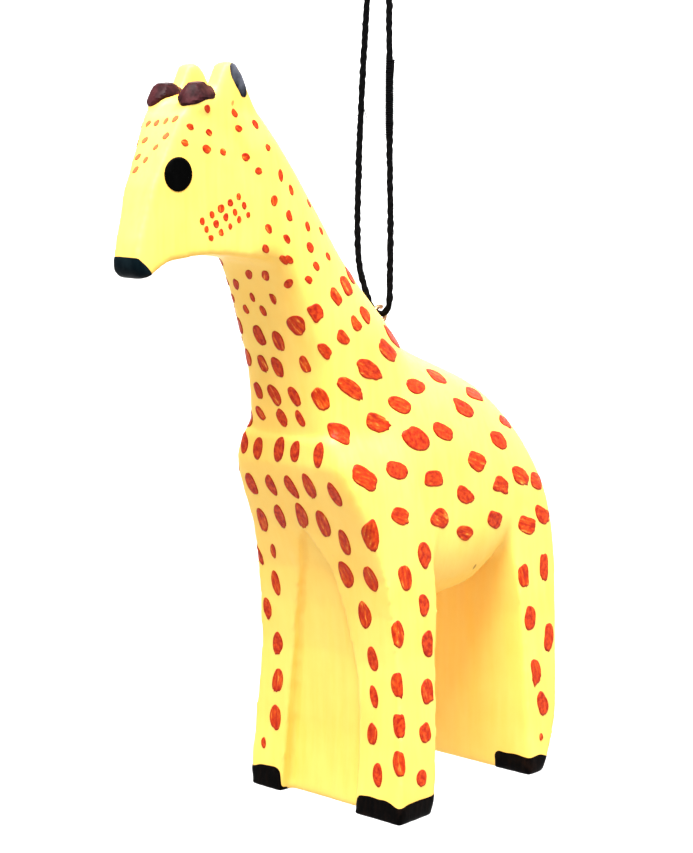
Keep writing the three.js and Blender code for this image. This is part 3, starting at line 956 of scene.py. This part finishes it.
def paint_dabs(skin):
    """All the dabs, in the order in which the rows were painted."""
    big, small = Dabs(skin, 3), Dabs(skin, 8)

    def lay(group, rows, way, side=1, slip=0.0, leaf=0.2, rough=0.09, thickness=0.10):
        """Lays rows of dabs. The other side's get a slip, as no two hand-painted sides agree."""
        for places, length, width, tilt in rows:
            for a, b in places:
                a += group.chance.uniform(-slip, slip)
                b += group.chance.uniform(-slip, slip)
                start = {SIDE: (0, a, b), FRONT: (a, 0, b), BACK: (a, 0, b), TOP: (a, b, START_ABOVE)}[way]
                place = skin.hit(start, (way[0] * side, way[1], way[2]))
                if place is None:
                    continue
                grow = group.chance.uniform(0.88, 1.12)
                group.add(place, length * grow, width * group.chance.uniform(0.88, 1.12) * grow,
                          tilt + group.chance.uniform(-9, 9), leaf, rough, thickness)

    for side, slip in ((1, 0.15), (-1, 0.9)):
        lay(big, FLANK_ROWS, SIDE, side, slip, leaf=0.0, rough=0.16)
        lay(big, LEG_SIDE_ROWS, SIDE, side, slip, leaf=0.05, rough=0.13)
        lay(small, HEAD_ROWS, SIDE, side, 0.5 * slip, thickness=0.07)
        for row in range(CHEEK_ROWS):
            for step in range(CHEEK_COLUMNS):
                y = CHEEK_FIRST[0] + step * CHEEK_STEP[0] + row * CHEEK_ROW[0]
                z = CHEEK_FIRST[1] + step * CHEEK_STEP[1] + row * CHEEK_ROW[1]
                fleck = (((y, z),), 1.15 - 0.08 * row, 0.95 - 0.06 * row, 5)
                lay(small, (fleck,), SIDE, side, 0.12, thickness=0.07)
    lay(big, CHEST_ROWS, FRONT, slip=0.1, leaf=0.30, rough=0.07)
    lay(big, NECK_ROWS, FRONT, slip=0.1, leaf=0.12)
    lay(small, THROAT_ROWS, FRONT, slip=0.1, thickness=0.07)
    lay(big, BACK_ROWS, TOP, slip=0.3)
    lay(big, RUMP_ROWS, BACK, slip=0.3)
    lay(small, NAPE_ROWS, BACK, slip=0.3)
    places, length, width, tilt = CORNER_DABS
    for place in places:
        big.add(Vector(place), length, width, tilt, 0.1, 0.12)
    # The forehead's flecks carry a painted highlight: a paler paint where the top of the head catches the
    # light.
    pale = Dabs(skin, 6)
    for x, z, count, step, climb in FOREHEAD_ROWS:
        places = tuple((x + k * step, z + k * climb) for k in range(count))
        lay(pale, ((places, 1.15, 0.8, -40),), FRONT, slip=0.1, thickness=0.07)
    red = dab_paint("red_dab_paint")
    big.finish("painted_dabs", red)
    small.finish("painted_flecks", red)
    pale.finish("forehead_flecks", dab_paint("highlit_dab_paint", painted_highlight=0.22))


EYE_SPOTS = (("eye_left", 1, -34.5), ("eye_right", -1, -33.4))  # name, side, y
EYE_SPOT_Z = 102.8


def paint_eyes(skin):
    black = coat_paint("eye_black", (0.0006, 0.0006, 0.0006), (0.002, 0.002, 0.002), 0.30, gloss=0.02)
    for name, side, y in EYE_SPOTS:
        eye = Dabs(skin, 4)
        place = skin.hit((0, y, EYE_SPOT_Z), (-side, 0, 0))
        eye.add(place, 4.95, 4.5, -12, leaf=0.0, rough=0.015, thickness=0.13, blunt=0)
        eye.finish(name, black)


# ---- the screw eye ----
EYE_Z = 79.6
EYE_RING_RADIUS = 1.36
EYE_WIRE = 0.72
EYE_LEAN = math.radians(43)   # the shank runs down and forward, this far from vertical
RING_PLACES = 41              # places round the ring, from one of its ends to the other
RING_START, RING_STEP = -158, 8.05   # degrees from the shank's way, and between two places
SHANK = 0.9
SHANK_LENGTH = 8.0
SHANK_STEPS = 90
NECK_STEPS = 6                # steps in which the wire bends in to the shank's middle line
THREAD_FROM = 2               # the thread starts this far down the shank
THREAD_DEPTH, THREAD_PITCH = 0.06, 0.55


def make_screw_eye():
    """One bent wire: a ring that isn't quite closed, a neck, and a threaded shank in the wood."""
    lean = np.array((0, -math.sin(EYE_LEAN), -math.cos(EYE_LEAN)))
    over = np.array((0, math.cos(EYE_LEAN), -math.sin(EYE_LEAN)))
    middle = np.array((0, EYE_Y, EYE_Z))
    places, radii = [], []
    for step in range(RING_PLACES):
        turn = math.radians(RING_START + step * RING_STEP)
        places.append(middle + EYE_RING_RADIUS * (math.cos(turn) * lean + math.sin(turn) * over))
        radii.append(EYE_WIRE / 2 * MM)
    places.reverse()
    for step in range(1, SHANK_STEPS + 1):
        down = 0.25 + step / SHANK_STEPS * SHANK_LENGTH
        swing = 0.9 * max(0, 1 - step / NECK_STEPS)
        places.append(middle + (EYE_RING_RADIUS + down) * lean - 0.45 * swing * over)
        thread = THREAD_DEPTH * math.cos(2 * math.pi * down / THREAD_PITCH) if down > THREAD_FROM else 0
        taper = min(1, (SHANK_LENGTH - down + 0.35) / 1.4)
        radii.append(max(0.06, (SHANK / 2 - THREAD_DEPTH + thread) * taper) * MM)
    points, faces = [], []
    for part in (slice(RING_PLACES), slice(RING_PLACES, None)):
        tube(metres(places[part]), radii[part], 14, points, faces)
    piece = mesh_object("screw_eye_wire", points, faces)
    piece.data.materials.append(eye_metal())
    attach(piece, "figure")
    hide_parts("screw_eye")


# ---- floor, light ----
FLOOR_Z = -700        # the floor's height, in figure millimetres: the ornament hangs over it
BEND_STEPS = 16       # steps in the sweep from the floor to the wall


def make_stage():
    """A pale floor that sweeps up behind into a pale wall."""
    reach, bend, wall = 2.4, 0.9, 3.0
    bend_start = reach * 0.45
    floor = (FLOOR_Z - ORIGIN_Z) * MM
    profile = [(-reach, floor), (bend_start, floor)]
    for step in range(1, BEND_STEPS + 1):
        turn = step / BEND_STEPS * math.pi / 2
        profile.append((bend_start + bend * math.sin(turn), floor + bend * (1 - math.cos(turn))))
    profile.append((bend_start + bend, floor + wall))
    points, faces = [], []
    for depth, height in profile:
        for side in (-reach, reach):
            points.append((side, depth, height))
    for k in range(len(profile) - 1):
        faces.append((2 * k, 2 * k + 1, 2 * k + 3, 2 * k + 2))
    stage = mesh_object("stage", points, faces)
    stage.data.materials.append(pale_stage())
    stage.rotation_euler = (0, 0, CAMERA_AZIMUTH)


def area_light(name, shape, size, watts, place, away):
    """A soft light at a place in metres, that shines against the way called away."""
    light = bpy.data.lights.new(name, "AREA")
    light.shape = shape
    light.size = size
    light.energy = watts
    lamp = linked(name, light)
    lamp.location = place
    lamp.rotation_euler = away.to_track_quat("Z", "Y").to_euler()
    return light


def lamp_at(name, azimuth, elevation, distance, size, watts):
    """A round light that looks at the figure. Azimuth 0 is in front, 90 at its left side."""
    a, e = math.radians(azimuth), math.radians(elevation)
    away = Vector((math.sin(a) * math.cos(e), -math.cos(a) * math.cos(e), math.sin(e)))
    area_light(name, "DISK", size, watts, at(0, 2, 60) + away * distance, away)


def make_lights():
    """A white room, brighter above, with a key light, a window and the wall's own light."""
    n = Nodes(bpy.data.worlds.new("white_room"), "Background")
    way = n.add("ShaderNodeTexCoord", {}, "Generated")
    up = n.add("ShaderNodeSeparateXYZ", {"Vector": way}, "Z")
    n.set(Color=(1, 1, 1, 1), Strength=n.grey(up, -0.1, 0.9, 0.74, 1.15))
    bpy.context.scene.world = n.owner
    lamp_at("key", 22, 64, 0.75, 0.45, 13)
    lamp_at("window", 108, 60, 0.8, 0.4, 7)
    # The wall's light is wide and low: it brightens the wall and only grazes the figure's back.
    behind = Vector((-math.sin(CAMERA_AZIMUTH), math.cos(CAMERA_AZIMUTH), 0))
    place, away = behind * 0.9 + Vector((0, 0, 0.9)), behind * -1 + Vector((0, 0, 0.35))
    area_light("wall", "RECTANGLE", 2.4, 75, place, away).size_y = 0.6
    bpy.context.scene.view_settings.view_transform = "Standard"


make_camera()
make_cord()
skin = make_body()
paint_hooves(skin)
paint_nose(skin)
paint_horns(skin)
paint_ears(skin)
paint_dabs(skin)
paint_eyes(skin)
make_screw_eye()
make_stage()
make_lights()
